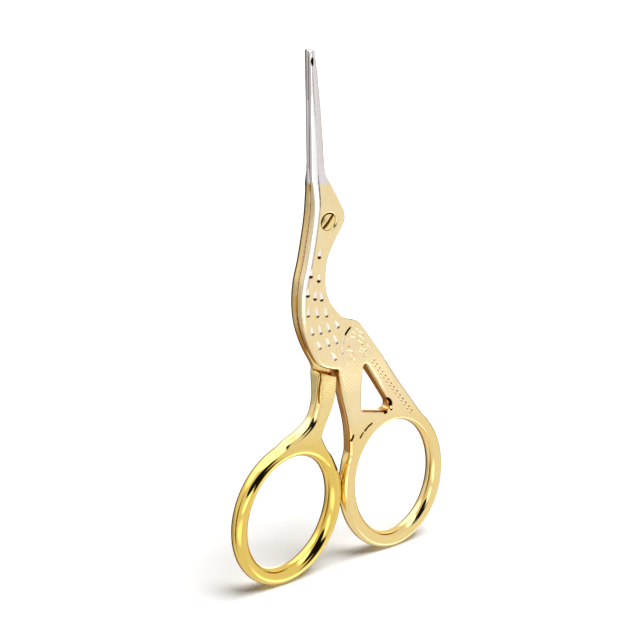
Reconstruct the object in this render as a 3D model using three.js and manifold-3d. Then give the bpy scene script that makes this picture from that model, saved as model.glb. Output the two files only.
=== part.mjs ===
// Embroidery scissors in the shape of a standing stork: two lapped halves that turn on one slotted
// pivot screw. Millimetres. X runs across the two bows, Z from the bows up to the tip of the beak,
// and the front faces -Y. The object stands closed on its bows at Z = 0, centred on Y = 0.
import * as THREE from 'three';
import { ConvexGeometry } from 'three/addons/geometries/ConvexGeometry.js';
import { TessellateModifier } from 'three/addons/modifiers/TessellateModifier.js';
import { mergeVertices } from 'three/addons/utils/BufferGeometryUtils.js';
import Module from 'manifold-3d';

const wasm = await Module();
wasm.setup();

const { degToRad, lerp, smoothstep } = THREE.MathUtils;

// Thicknesses, measured over both halves where they lap.
const bodyThickness = 3.8;
const legThickness = 2.7;
const bowThickness = 3.2;
const headTopThickness = 2.5;
const bladeRootThickness = 2.4;
const bladeTipThickness = 1.9;
const lapClearance = 0.1; // between the two lapped faces
const edgeRounding = 0.55; // on the outer edges of head, body, tail and legs

// Pivot, the eye of the stork.
const pivotX = -3.75;
const pivotZ = 64.85;
const screwHeadRadius = 1.45;
const screwHeadThickness = 0.8;
const screwShankRadius = 0.85;
const screwPlay = 0.05; // all round the shank, round the head and under it
const screwEndRecess = 0.1;
const slotWidth = 0.45;
const slotDepth = 0.35;
const slotAngle = 45;

// Heights where the thickness changes.
const overallLength = 94;
const headRise = 7.75; // from the pivot to the top of the head
const headTopHeight = pivotZ + headRise;
const headTaperLength = 4.5; // the head thins towards the blade over this length
const bodyBottomHeight = 41;
const legTaperLength = 10; // the body thins towards the legs over this length

// Blade, the beak: a ridge divides the bevel of the spine from the facet of the cutting edge.
const bladeSetback = 2.6; // from the pivot to the back of the blade where it leaves the head
const bladeBack = pivotX - bladeSetback;
const bladeLean = 0.3; // how far the back leans out by the tip
const bladeRootWidth = 2.6;
const bladeMidWidth = 2.05;
const bladeTipWidth = 1.0;
const bladeTipRounding = 0.4;
const spineBevelShare = 0.42; // part of the width between the spine and the ridge
const spineBevelDrop = 0.3; // how much thinner the spine is than the ridge
const cuttingEdgeThickness = 0.7;
const bladeTang = 3.5; // length of blade inside the head

// Bows: a finger hole inside a rounded rim, both ellipses that lean together.
const overallWidth = 45;
const bowGap = 0.3; // between the two rims when closed
const frontBowShare = 0.501; // of the width that the gap leaves, the part the front half's bow takes
const rimSideWidth = 2.75;
const rimEndWidth = 2.85;
const holeRise = 0.2; // the rim is heavier below the hole than above it
const holeShift = 0.1; // and lighter on the outer side
const legRunOut = 0.2; // part of the rim's width, from the hole, where a leg ends inside it
const legOverrun = 4; // degrees that a leg runs on inside the ring after its edge has sunk in
const sinkShares = [1, 0.92, 0.78]; // parts of the rim's width as a leg's edge sinks into the ring
const rearHole = { halfHeight: 10.4, lean: 16 };
const frontHole = { halfHeight: 10.9, lean: -6.6 };

// Degrees round each bow between which the edges of leg and tail sink into the ring.
const frontTailMerge = { from: 48, to: 26 };
const frontLegMerge = { from: 141, to: 162 };
const rearInnerMerge = { from: 64, to: 42 };
const rearOuterMerge = { from: 122, to: 152 };

// Triangular opening between the leg and the tail of the front half.
const openingLeft = 3.75;
const openingRight = 11.0;
const openingTop = 38.2;
const openingSill = 1.25; // its lower left corner stands this far above the bow
const openingFall = 2.0; // and its lower right corner lies this far below the left one
const openingRounding = { top: 1.5, left: 0.5, right: 2.6 };

// Steps where a lapped plate becomes a full leg.
const shoulderX = -1.4; // on the back of the front half
const shoulderHeight = 46.5; // where that step turns out towards the tail
const shoulderRise = 16; // and the angle at which it runs on
const shoulderClearance = 0.25; // to the edge of the rear plate behind it
const ledgeLeft = { x: -5.5, z: 38.2 }; // the rear half's own step, below the body
const ledgeRightHeight = 36.6;

// Outline of the head, as distances from the pivot.
const headRight = {
  crown: { x: 2.25, z: 3.45 },
  face: { x: 3.4, z: 0 },
  chin: { x: 1.35, z: -3.65 },
};
const headLeft = {
  nape: { x: -2.8, z: -0.25 },
  crown: { x: -2.45, z: 3.75 },
};

// Outline of the body, shared by both halves down to the throat and up from the breast.
const throat = {
  upper: { x: -4.05, z: 58.2 },
  lower: { x: -4.35, z: 54.2 },
};
const breast = {
  belly: { x: -7.1, z: 42.5 },
  low: { x: -8.5, z: 46.5 },
  full: { x: -9.0, z: 50.5 },
  high: { x: -8.7, z: 54.4 },
  neck: { x: -7.7, z: 58.4 },
};

// Front half only: the back down to the tail, the left side of the leg, and the edge under the body.
const back = {
  shoulder: { x: -3.35, z: 50.8 },
  middle: { x: -0.7, z: 47.7 },
  rump: { x: 1.8, z: 46.5 },
  tailRoot: { x: 2.9, z: 45.7 },
};
const frontLegFoot = { x: 1.9, fall: 1.85 }; // the fall is from the top of the bow
const frontLeg = {
  shin: { x: 0.3, z: 30.9 },
  knee: { x: -0.75, z: 35.1 },
  thigh: { x: -1.35, z: 37.5 },
};
const thighCorner = { x: -1.5, z: 38 };
const thighEnd = { x: -2.3, z: 38.05 };
const underside = {
  right: { x: -4.1, z: 38.7 },
  left: { x: -5.6, z: 39.8 },
};

// Rear half only: the edge of its plate, then the two sides of its leg.
const plateStraightHeight = 42;
const plateNeck = { inset: 0.9, rise: 6 }; // where the edge has begun to lean in, above that height
// Inner side, by the share of the way from the top of the bow up to the ledge.
const rearLegInner = {
  knee: { x: -1.8, share: 0.69 },
  shin: { x: -2.7, share: 0.43 },
  ankle: { x: -4.1, share: 0.17 },
  foot: { x: -4.85, share: -0.03 },
};
const rearLegOuter = {
  shin: { x: -5.5, z: 33 },
  knee: { x: -5.4, z: 37 },
  thigh: { x: -5.3, z: 38.8 },
};
// Where its outer side spreads into the bow, as rises above the top of the bow.
const rearFootOuter = {
  lower: { x: -11.6, rise: 0.6 },
  middle: { x: -8.6, rise: 1.9 },
  upper: { x: -6.5, rise: 3.6 },
};

// Feather scoops pressed into the front, by row from the neck down.
const scoopLength = 1.6;
const scoopWidth = 0.62;
const scoopDepth = 0.22;
const scoopLean = 14;
const featherRows = {
  neck: { x: -5.7, z: 59.5, count: 1, pitch: 0, drop: 0 },
  upperBreast: { x: -7.2, z: 56.7, count: 2, pitch: 1.5, drop: 1.1 },
  breast: { x: -7.9, z: 53.4, count: 3, pitch: 1.35, drop: 0.6 },
  lowerBreast: { x: -7.9, z: 50.0, count: 3, pitch: 1.9, drop: 0.45 },
  upperBelly: { x: -7.1, z: 46.4, count: 4, pitch: 1.8, drop: 0 },
  belly: { x: -5.5, z: 43.5, count: 3, pitch: 1.75, drop: 0 },
  thigh: { x: -2.4, z: 40.8, count: 1, pitch: 0, drop: 0 },
};

const curveSteps = 3;
const roundSegments = 32;
const longestEdge = 4; // of the triangles of a plate, so that its faces bend smoothly where it thins
const far = 60; // reach of a cutter past the part

const goldPlate = new THREE.MeshStandardMaterial({ color: '#e6c97f', roughness: 0.2, metalness: 1 });
const screwPlate = new THREE.MeshStandardMaterial({ color: '#dcb85f', roughness: 0.25, metalness: 1 });

const at = (x, z) => new THREE.Vector2(x, z);
const along = (points) => Object.values(points).map(({ x, z }) => at(x, z));
const fromPivot = (points) => along(points).map((point) => point.add(at(pivotX, pivotZ)));

// Booleans

function solidOf(geometry) {
  geometry.deleteAttribute('normal');
  geometry.deleteAttribute('uv');
  const merged = mergeVertices(geometry, 1e-4);
  const mesh = new wasm.Mesh({
    numProp: 3,
    vertProperties: merged.attributes.position.array,
    triVerts: new Uint32Array(merged.index.array),
  });
  return new wasm.Manifold(mesh);
}

function meshOf(name, solid, material) {
  const { vertProperties, triVerts } = solid.getMesh();
  const geometry = new THREE.BufferGeometry();
  geometry.setAttribute('position', new THREE.BufferAttribute(vertProperties, 3));
  geometry.setIndex(new THREE.BufferAttribute(triVerts, 1));
  geometry.computeVertexNormals();
  const mesh = new THREE.Mesh(geometry, material);
  mesh.name = name;
  return mesh;
}

// Sheet shapes: an outline in X and Z is extruded through Y, from the front to the back

function extrudeUpright(shape, front, back, options = { bevelEnabled: false }) {
  const rounding = options.bevelThickness ?? 0;
  const depth = back - front - 2 * rounding;
  const geometry = new THREE.ExtrudeGeometry(shape, { depth, curveSegments: curveSteps, ...options });
  geometry.rotateX(Math.PI / 2);
  geometry.translate(0, back - rounding, 0);
  return geometry;
}

// Scales an extrusion made at body thickness so that it has the given thickness at each height.
function thin(geometry, thicknessAt) {
  const position = geometry.attributes.position;
  for (let i = 0; i < position.count; i++) {
    position.setY(i, position.getY(i) * thicknessAt(position.getZ(i)) / bodyThickness);
  }
  return geometry;
}

function plateThickness(z) {
  const toBody = smoothstep(z, bodyBottomHeight - legTaperLength, bodyBottomHeight);
  const toHeadTop = smoothstep(z, headTopHeight - headTaperLength, headTopHeight);
  return lerp(lerp(legThickness, bodyThickness, toBody), headTopThickness, toHeadTop);
}

function bladeThickness(z) {
  return lerp(bladeRootThickness, bladeTipThickness, smoothstep(z, headTopHeight, overallLength));
}

function roundedPlate(shape) {
  const bevel = {
    bevelThickness: edgeRounding,
    bevelSize: edgeRounding,
    bevelOffset: -edgeRounding,
    bevelSegments: 2,
  };
  const geometry = extrudeUpright(shape, -bodyThickness / 2, bodyThickness / 2, bevel);
  geometry.deleteAttribute('normal');
  geometry.deleteAttribute('uv');
  const divided = new TessellateModifier(longestEdge, 12).modify(geometry);
  return solidOf(thin(divided, plateThickness));
}

function roundedPolygon(corners) {
  const path = new THREE.Path();
  corners.forEach((corner, i) => {
    const here = at(corner.x, corner.z);
    const before = corners.at(i - 1);
    const after = corners[(i + 1) % corners.length];
    const start = at(before.x, before.z).sub(here).setLength(corner.rounding).add(here);
    const end = at(after.x, after.z).sub(here).setLength(corner.rounding).add(here);
    if (i === 0) path.moveTo(start.x, start.y);
    else path.lineTo(start.x, start.y);
    path.quadraticCurveTo(here.x, here.y, end.x, end.y);
  });
  path.closePath();
  return path;
}

// Bows

// The rim of a bow touches Z = 0 and stands half the bow gap away from X = 0 on its side.
function bowOf(hole, side, width) {
  const lean = degToRad(-hole.lean);
  const reachX = width / 2;
  const halfHeight = hole.halfHeight + rimEndWidth;
  const halfWidth = Math.sqrt(reachX ** 2 - (halfHeight * Math.sin(lean)) ** 2) / Math.cos(lean);
  const outer = at(halfWidth, halfHeight);
  const inner = at(halfWidth - rimSideWidth, hole.halfHeight);
  const reachZ = Math.hypot(outer.x * Math.sin(lean), outer.y * Math.cos(lean));
  const centre = at(side * (bowGap / 2 + reachX), reachZ);
  const holeCentre = centre.clone().add(at(side * holeShift, holeRise));
  return { centre, holeCentre, inner, outer, lean };
}

// The ellipse at a share of the rim's width: 0 is the finger hole, 1 the outside of the rim.
function rimEllipse(bow, share) {
  const centre = bow.holeCentre.clone().lerp(bow.centre, share);
  const half = bow.inner.clone().lerp(bow.outer, share);
  return { centre, half };
}

function rimPoint(bow, angle, share) {
  const { centre, half } = rimEllipse(bow, share);
  const point = at(half.x * Math.cos(angle), half.y * Math.sin(angle));
  return point.rotateAround(at(0, 0), bow.lean).add(centre);
}

// A ring of round section, bent to lie between the hole and the outside of the rim.
function bowRing(bow) {
  const torus = new THREE.TorusGeometry(2, 1, 12, 64);
  const position = torus.attributes.position;
  for (let i = 0; i < position.count; i++) {
    const angle = Math.atan2(position.getY(i), position.getX(i));
    const share = (Math.hypot(position.getX(i), position.getY(i)) - 1) / 2;
    const point = rimPoint(bow, angle, share);
    position.setXYZ(i, point.x, -position.getZ(i) * bowThickness / 2, point.y);
  }
  return solidOf(torus);
}

// Continues an outline along the inside of the rim, so that a leg runs out within the ring.
function followRim(shape, bow, rightMerge, leftMerge) {
  const { centre, half } = rimEllipse(bow, legRunOut);
  const from = degToRad(rightMerge.to - legOverrun);
  const to = degToRad(leftMerge.to + legOverrun);
  shape.absellipse(centre.x, centre.y, half.x, half.y, from, to, false, bow.lean);
}

const frontBowWidth = (overallWidth - bowGap) * frontBowShare;
const rearBow = bowOf(rearHole, -1, overallWidth - bowGap - frontBowWidth);
const frontBow = bowOf(frontHole, 1, frontBowWidth);
const rearBowTop = 2 * rearBow.centre.y;
const frontBowTop = 2 * frontBow.centre.y;

const aboveRearBow = (points) => Object.values(points).map(({ x, rise }) => at(x, rearBowTop + rise));
const upToLedge = (points) => Object.values(points).map(({ x, share }) => {
  return at(x, lerp(rearBowTop, ledgeRightHeight, share));
});

// Lets the edge of a leg sink from the outside of the rim into the ring as it runs round the bow.
function sinkInto(bow, merge) {
  const last = sinkShares.length - 1;
  return sinkShares.map((share, i) => {
    const angle = degToRad(lerp(merge.from, merge.to, i / last));
    return rimPoint(bow, angle, share);
  });
}

// Outlines of the two plates

const headTopLeft = at(bladeBack, headTopHeight);
const headTopRight = at(bladeBack + bladeRootWidth, headTopHeight);
const headAndThroat = [...fromPivot(headRight), ...along(throat)];
const breastAndHead = [...along(breast), ...fromPivot(headLeft), headTopLeft];
const plateEdge = shoulderX - shoulderClearance;

function openingOutline() {
  const sill = frontBowTop + openingSill;
  return roundedPolygon([
    { x: openingLeft, z: openingTop, rounding: openingRounding.top },
    { x: openingLeft, z: sill, rounding: openingRounding.left },
    { x: openingRight, z: sill - openingFall, rounding: openingRounding.right },
  ]);
}

// Head, back and straight tail down to the bow, then up the leg and the breast.
function frontOutline() {
  const [tailEnd, ...tailOnBow] = sinkInto(frontBow, frontTailMerge);
  const [legStart, ...legOnBow] = sinkInto(frontBow, frontLegMerge).reverse();
  const shape = new THREE.Shape();
  shape.moveTo(headTopRight.x, headTopRight.y);
  shape.splineThru([...headAndThroat, ...along(back)]);
  shape.lineTo(tailEnd.x, tailEnd.y);
  shape.splineThru(tailOnBow);
  followRim(shape, frontBow, frontTailMerge, frontLegMerge);
  shape.lineTo(legStart.x, legStart.y);
  shape.splineThru(legOnBow);
  shape.lineTo(frontLegFoot.x, frontBowTop - frontLegFoot.fall);
  shape.splineThru(along(frontLeg));
  shape.quadraticCurveTo(thighCorner.x, thighCorner.z, thighEnd.x, thighEnd.z);
  shape.splineThru([...along(underside), ...breastAndHead]);
  shape.closePath();
  shape.holes.push(openingOutline());
  return shape;
}

// The same head and neck, then a plain edge behind the body, one leg and the other bow.
function rearOutline() {
  const [innerEnd, ...innerOnBow] = sinkInto(rearBow, rearInnerMerge);
  const [outerStart, ...outerOnBow] = sinkInto(rearBow, rearOuterMerge).reverse();
  const plateNeckHeight = plateStraightHeight + plateNeck.rise;
  const plateRight = [at(plateEdge - plateNeck.inset, plateNeckHeight), at(plateEdge, plateStraightHeight)];
  const shape = new THREE.Shape();
  shape.moveTo(headTopRight.x, headTopRight.y);
  shape.splineThru([...headAndThroat, ...plateRight, at(plateEdge, ledgeRightHeight)]);
  shape.splineThru(upToLedge(rearLegInner));
  shape.lineTo(innerEnd.x, innerEnd.y);
  shape.splineThru(innerOnBow);
  followRim(shape, rearBow, rearInnerMerge, rearOuterMerge);
  shape.lineTo(outerStart.x, outerStart.y);
  shape.splineThru([...outerOnBow, ...aboveRearBow(rearFootOuter), ...along(rearLegOuter)]);
  shape.splineThru(breastAndHead);
  shape.closePath();
  return shape;
}

// Blades

// Both blades share one outline, from inside the head to a small rounded tip.
function bladeOutline() {
  const tipLeft = bladeBack - bladeLean;
  const tipRight = tipLeft + bladeTipWidth;
  const tipShoulder = overallLength - bladeTipRounding;
  const midZ = (headTopHeight + overallLength) / 2;
  const tangBottom = headTopHeight - bladeTang;
  const shape = new THREE.Shape();
  shape.moveTo(bladeBack, tangBottom);
  shape.lineTo(bladeBack + bladeRootWidth, tangBottom);
  shape.lineTo(bladeBack + bladeRootWidth, headTopHeight);
  shape.splineThru([at(bladeBack - bladeLean / 2 + bladeMidWidth, midZ), at(tipRight, tipShoulder)]);
  shape.quadraticCurveTo(tipRight, overallLength, tipRight - bladeTipRounding, overallLength);
  shape.lineTo(tipLeft + bladeTipRounding, overallLength);
  shape.quadraticCurveTo(tipLeft, overallLength, tipLeft, tipShoulder);
  shape.closePath();
  return shape;
}

// The wedge that is ground off a blade's outer face, from its ridge out to an edge that lies lower by
// the fall. The front blade (side 1) is ground on the front and cuts with its right edge, the rear
// blade (side -1) is ground on the back and cuts with its left edge.
function facetCutter(side, share, towards, fallAt) {
  const ends = [
    { z: headTopHeight, left: bladeBack, width: bladeRootWidth },
    { z: overallLength, left: bladeBack - bladeLean, width: bladeTipWidth },
  ];
  const corners = ends.flatMap(({ z, left, width }) => {
    const face = bladeThickness(z) / 2;
    const edge = towards > 0 ? left + width : left;
    const ridge = edge - towards * share * width;
    const beyond = edge + towards * share * width;
    return [
      new THREE.Vector3(ridge, -side * face, z),
      new THREE.Vector3(beyond, -side * (face - 2 * fallAt(face)), z),
      new THREE.Vector3(beyond, -side * bodyThickness, z),
      new THREE.Vector3(ridge, -side * bodyThickness, z),
    ];
  });
  return solidOf(new ConvexGeometry(corners));
}

const groundFall = (face) => face - lapClearance / 2 - cuttingEdgeThickness;
const spineFall = () => spineBevelDrop;

function blade(side) {
  const geometry = extrudeUpright(bladeOutline(), -bodyThickness / 2, bodyThickness / 2);
  return solidOf(thin(geometry, bladeThickness))
    .subtract(facetCutter(side, 1 - spineBevelShare, side, groundFall))
    .subtract(facetCutter(side, spineBevelShare, -side, spineFall));
}

// Lap joint

// Clears the back of the front half above its shoulder, and the front of the rear half above its own.
function frontLapCutter() {
  const rise = (far - shoulderX) * Math.tan(degToRad(shoulderRise));
  const above = overallLength + far;
  const region = new THREE.Shape([at(-far, 0), at(shoulderX, 0), at(shoulderX, shoulderHeight),
    at(far, shoulderHeight + rise), at(far, above), at(-far, above)]);
  return solidOf(extrudeUpright(region, -lapClearance / 2, bodyThickness));
}

function rearLapCutter() {
  const above = overallLength + far;
  const region = new THREE.Shape([at(-far, ledgeLeft.z), at(ledgeLeft.x, ledgeLeft.z),
    at(plateEdge, ledgeRightHeight), at(far, ledgeRightHeight), at(far, above), at(-far, above)]);
  return solidOf(extrudeUpright(region, -bodyThickness, lapClearance / 2));
}

// Round cuts and the screw, on the pivot's axis

function disc(radius, front, back) {
  const geometry = new THREE.CylinderGeometry(radius, radius, back - front, roundSegments);
  geometry.translate(pivotX, (front + back) / 2, pivotZ);
  return solidOf(geometry);
}

function featherScoops() {
  const scoops = Object.values(featherRows).flatMap((row) => Array.from({ length: row.count }, (_, i) => {
    const scoop = new THREE.SphereGeometry(1, 10, 8);
    scoop.scale(scoopWidth / 2, scoopDepth, scoopLength / 2);
    scoop.rotateY(degToRad(-scoopLean));
    scoop.translate(row.x + i * row.pitch, -bodyThickness / 2, row.z - i * row.drop);
    return solidOf(scoop);
  }));
  return scoops.reduce((joined, scoop) => joined.add(scoop));
}

const frontFace = -bodyThickness / 2;
const rearFace = bodyThickness / 2;
const headSeat = frontFace + screwHeadThickness + screwPlay;

function openingCutter() {
  const region = new THREE.Shape(openingOutline().getPoints(curveSteps));
  return solidOf(extrudeUpright(region, -bodyThickness, bodyThickness));
}

function frontHalf() {
  return roundedPlate(frontOutline())
    .add(bowRing(frontBow))
    .subtract(openingCutter())
    .add(blade(1))
    .subtract(frontLapCutter())
    .subtract(disc(screwHeadRadius + screwPlay, frontFace - 1, headSeat))
    .subtract(disc(screwShankRadius + screwPlay, frontFace - 1, rearFace))
    .subtract(featherScoops());
}

function rearHalf() {
  return roundedPlate(rearOutline())
    .add(bowRing(rearBow))
    .add(blade(-1))
    .subtract(rearLapCutter())
    .subtract(disc(screwShankRadius + screwPlay, frontFace, rearFace + 1));
}

function pivotScrew() {
  const slot = new THREE.BoxGeometry(4 * screwHeadRadius, 2 * slotDepth, slotWidth);
  slot.rotateY(degToRad(-slotAngle));
  slot.translate(pivotX, frontFace, pivotZ);
  return disc(screwHeadRadius, frontFace, headSeat - screwPlay)
    .add(disc(screwShankRadius, headSeat - 2 * screwPlay, rearFace - screwEndRecess))
    .subtract(solidOf(slot));
}

const scissors = new THREE.Group();
scissors.add(meshOf('front_half', frontHalf(), goldPlate));
scissors.add(meshOf('rear_half', rearHalf(), goldPlate));
scissors.add(meshOf('pivot_screw', pivotScrew(), screwPlate));

export default scissors;
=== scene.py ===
import math

import bmesh
import bpy
import numpy as np
import openvdb
from mathutils import Matrix, Vector


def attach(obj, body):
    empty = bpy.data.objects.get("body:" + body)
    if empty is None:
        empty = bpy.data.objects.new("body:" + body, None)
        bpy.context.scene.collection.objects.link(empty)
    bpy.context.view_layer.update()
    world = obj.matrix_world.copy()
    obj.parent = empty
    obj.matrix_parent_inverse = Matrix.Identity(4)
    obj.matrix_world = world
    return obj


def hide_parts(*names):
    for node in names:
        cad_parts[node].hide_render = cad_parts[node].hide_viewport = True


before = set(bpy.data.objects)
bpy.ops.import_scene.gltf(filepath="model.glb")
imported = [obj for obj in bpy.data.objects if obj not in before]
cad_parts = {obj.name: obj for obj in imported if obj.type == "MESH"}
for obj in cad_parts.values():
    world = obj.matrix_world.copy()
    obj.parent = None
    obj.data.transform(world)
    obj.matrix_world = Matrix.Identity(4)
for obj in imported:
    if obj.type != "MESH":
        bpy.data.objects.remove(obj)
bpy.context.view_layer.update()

mm = 0.001  # every shape below is written in millimetres
voxel = 0.16


# curves and distances in the X-Z plane

def spline(points, steps=10):
    p = np.array(points, float)
    ends = np.vstack([p[:1], p, p[-1:]])
    t = np.linspace(0, 1, steps, endpoint=False)[:, None]
    runs = []
    for a, b, c, d in zip(ends, ends[1:], ends[2:], ends[3:]):
        runs.append(0.5 * (2 * b + (c - a) * t + (2 * a - 5 * b + 4 * c - d) * t ** 2
                           + (3 * b - a - 3 * c + d) * t ** 3))
    return np.vstack(runs + [p[-1:]])


def smoothStep(value, low, high):
    t = np.clip((value - low) / (high - low), 0, 1)
    return t * t * (3 - 2 * t)


def mix(a, b, t):
    return a + (b - a) * t


def lineDistance(x, z, points):
    # distance to an open line, and how far along it the nearest place lies (0 to 1)
    best = np.full(np.broadcast(x, z).shape, 1e9)
    place = np.zeros(best.shape)
    count = len(points) - 1
    for k, ((ax, az), (bx, bz)) in enumerate(zip(points, points[1:])):
        ex, ez = bx - ax, bz - az
        t = np.clip(((x - ax) * ex + (z - az) * ez) / (ex * ex + ez * ez + 1e-12), 0, 1)
        d = (x - ax - t * ex) ** 2 + (z - az - t * ez) ** 2
        place = np.where(d < best, (k + t) / count, place)
        best = np.minimum(best, d)
    return np.sqrt(best), place


def outlineDistance(x, z, outline):
    # signed distance to a closed outline, negative inside
    closed = np.vstack([outline, outline[:1]])
    inside = np.zeros(np.broadcast(x, z).shape, bool)
    for (ax, az), (bx, bz) in zip(closed, closed[1:]):
        if az != bz:
            inside ^= ((az > z) != (bz > z)) & (x < (bx - ax) * (z - az) / (bz - az) + ax)
    return lineDistance(x, z, closed)[0] * np.where(inside, -1, 1)


def soften(values, cells):
    # a small blur, so that the joints of an outline's short lines don't show in the polish
    reach = int(3 * cells) + 1
    weights = np.exp(-0.5 * (np.arange(-reach, reach + 1) / cells) ** 2)
    weights /= weights.sum()
    for axis in (0, 1):
        padded = np.pad(values, [(reach, reach) if k == axis else (0, 0) for k in (0, 1)], mode="edge")
        size = values.shape[axis]
        values = sum(w * np.take(padded, np.arange(k, k + size), axis) for k, w in enumerate(weights))
    return values


def smoothMin(a, b, blend):
    h = np.clip(0.5 + 0.5 * (b - a) / blend, 0, 1)
    return mix(b, a, h) - blend * h * (1 - h)


def roundedMax(a, b, radius):
    qa, qb = a + radius, b + radius
    return np.minimum(np.maximum(qa, qb), 0) + np.hypot(np.maximum(qa, 0), np.maximum(qb, 0)) - radius


# a bow: the finger hole and the outside of the rim are two leaning ellipses

rearBow = {"hole": (-11.32, 13.25), "centre": (-11.22, 13.09), "inner": (8.36, 10.4),
           "outer": (11.03, 13.215), "lean": -16}
frontBow = {"hole": (11.45, 13.92), "centre": (11.35, 13.72), "inner": (8.41, 10.9),
            "outer": (11.13, 13.73), "lean": 6.6}
rim = {"halfThickness": 1.59, "halfWidth": 1.45, "web": 0.2, "run": (1, 0.93, 0.75), "blend": 0.4}


def rimEllipse(bow, share):
    centre = [mix(a, b, share) for a, b in zip(bow["hole"], bow["centre"])]
    half = [mix(a, b, share) for a, b in zip(bow["inner"], bow["outer"])]
    return centre, half


def rimPoint(bow, degrees, share):
    (cx, cz), (hx, hz) = rimEllipse(bow, share)
    a, lean = math.radians(degrees), math.radians(bow["lean"])
    u, v = hx * math.cos(a), hz * math.sin(a)
    return (cx + u * math.cos(lean) - v * math.sin(lean), cz + u * math.sin(lean) + v * math.cos(lean))


def rimArc(bow, start, end, steps=40):
    # where the web between a leg and its bow ends inside the rim
    return [rimPoint(bow, a, rim["web"]) for a in np.linspace(start, end, steps)]


def intoRim(bow, degrees):
    # three points that take the edge of a leg down into the rim
    return [rimPoint(bow, a, share) for a, share in zip(degrees, rim["run"])]


def rimShare(bow, x, z):
    # 0 at the finger hole, 1 on the outside of the rim
    lean = math.radians(bow["lean"])

    def off(share):
        (cx, cz), (hx, hz) = rimEllipse(bow, share)
        u = (x - cx) * math.cos(lean) + (z - cz) * math.sin(lean)
        v = (z - cz) * math.cos(lean) - (x - cx) * math.sin(lean)
        return np.hypot(u / hx, v / hz) - 1

    share = np.full(np.broadcast(x, z).shape, 0.5)
    for _ in range(5):
        slope = (off(share + 0.01) - off(share)) / 0.01
        share = np.clip(share - off(share) / slope, -2.5, 6)
    return share


def bowRing(bow, x, y, z):
    share = rimShare(bow, x[:, 0, :], z[:, 0, :])[:, None, :]
    return (np.hypot(2 * share - 1, y / rim["halfThickness"]) - 1) * rim["halfWidth"]


# outlines that both halves share: head, neck and breast, from the CAD sizes

pivot = (-3.75, 64.85)
headTop = 72.6
headTopLeft, headTopRight = (-6.35, headTop), (-3.75, headTop)
headRight = [(-1.65, 68.4), (-0.35, 64.85), (-2.4, 61.2)]
headLeft = [(-6.55, 64.6), (-6.2, 68.6)]
throat = [(-3.9, 58.2), (-4.25, 54.2)]
breast = [(-7.1, 42.5), (-8.5, 46.5), (-9.0, 50.5), (-8.7, 54.4), (-7.7, 58.4)]
fullLength = 93.75

# half thicknesses, and the heights between which one passes into the next
plate = {"leg": 1.35, "body": 1.9, "legToBody": (31, 41), "bodyToBlade": (67.4, 73.4), "lapGap": 0.05,
         "arris": 0.07, "edgeToArris": (69, 73), "bore": 0.9}
blade = {"root": 1.32, "tip": 0.95, "back": -6.35, "lean": 0.3, "foot": 71.8, "rootWidth": 2.6,
         "midWidth": 2.05, "tipWidth": 1.0, "tipRounding": 0.4, "edgeLand": 0.7, "facetShare": 0.58,
         "facetRise": (70.5, 75)}


def alongBlade(z):
    return np.clip((z - headTop) / (fullLength - headTop), 0, 1)


def plateHalf(z):
    lower = mix(plate["leg"], plate["body"], smoothStep(z, *plate["legToBody"]))
    return mix(lower, mix(blade["root"], blade["tip"], alongBlade(z)), smoothStep(z, *plate["bodyToBlade"]))


def bladeOutline():
    back, lean, tip = blade["back"], blade["lean"], fullLength
    r = blade["tipRounding"]
    left = back - lean
    right = left + blade["tipWidth"]
    corner = np.linspace(0, math.pi / 2, 6)
    cuttingSide = spline([(back + blade["rootWidth"], headTop),
                          (back - lean / 2 + blade["midWidth"], (headTop + tip) / 2), (right, tip - r)])
    tipRight = [(right - r + r * math.cos(a), tip - r + r * math.sin(a)) for a in corner]
    tipLeft = [(left + r - r * math.sin(a), tip - r + r * math.cos(a)) for a in corner]
    foot = [(back, blade["foot"]), (back + blade["rootWidth"], blade["foot"])]
    return np.vstack([foot, cuttingSide, tipRight, tipLeft])


def groundFacet(side, x, out, z, half):
    # the blade's face falls from the ridge to the cutting edge, on the right in front and on the left behind
    t = alongBlade(z)
    width = mix(blade["rootWidth"], blade["tipWidth"], t)
    left = blade["back"] - blade["lean"] * t
    across = x - left if side > 0 else left + width - x
    facet = blade["facetShare"] * width
    drop = (half - plate["lapGap"] - blade["edgeLand"]) * smoothStep(z, *blade["facetRise"])
    return ((out - half) * facet + (across - width + facet) * drop) / np.hypot(facet, drop)


def headAndBlade(flatX, flatZ, outline):
    d2 = np.minimum(outlineDistance(flatX, flatZ, outline), outlineDistance(flatX, flatZ, bladeOutline()))
    return soften(d2, 1)


front = {
    "back": [(-3.35, 50.7), (-0.7, 47.45), (1.8, 46.3), (2.9, 45.6)],
    "leg": [(1.45, 24.2), (0.95, 27.6), (0.05, 31.2), (-0.8, 35.1), (-1.35, 37.5)],
    "shoulder": (-1.55, 37.92),
    "belly": [(-2.3, 38.05), (-4.1, 38.7), (-5.6, 39.8)],
    "opening": [(4.05, 38.1, 1.5), (4.05, 28.8, 0.5), (10.9, 26.9, 2.6)],  # corners, each with its rounding
    "openingEdges": (0.2, 0.45),
    "edge": 0.36, "legEdge": 0.8, "legToEdge": (33, 39),
    # bevel along the left, from the belly up the neck and the blade: height, width, drop
    "bevel": [(39, 0.3, 0.3), (44, 0.45, 0.42), (52, 0.55, 0.48), (66, 0.55, 0.48), (72, 0.85, 0.48),
              (76, 0.95, 0.47), (82, 0.6, 0.31), (87, 0.22, 0.14), (94, 0.14, 0.1)],
    "bevelFrom": 38.3, "bevelEdge": 0.08,
    # left of the step and above its rising top, the back of the stack belongs to the rear half
    "step": (-1.4, 46.5), "stepRise": 0.287,
    "seat": 1.5, "seatFloor": -1.05, "seatEdge": 0.05,
}
farLeft, farOut, farUp = -6.65, 60, 130  # beyond the piece on each side


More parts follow.
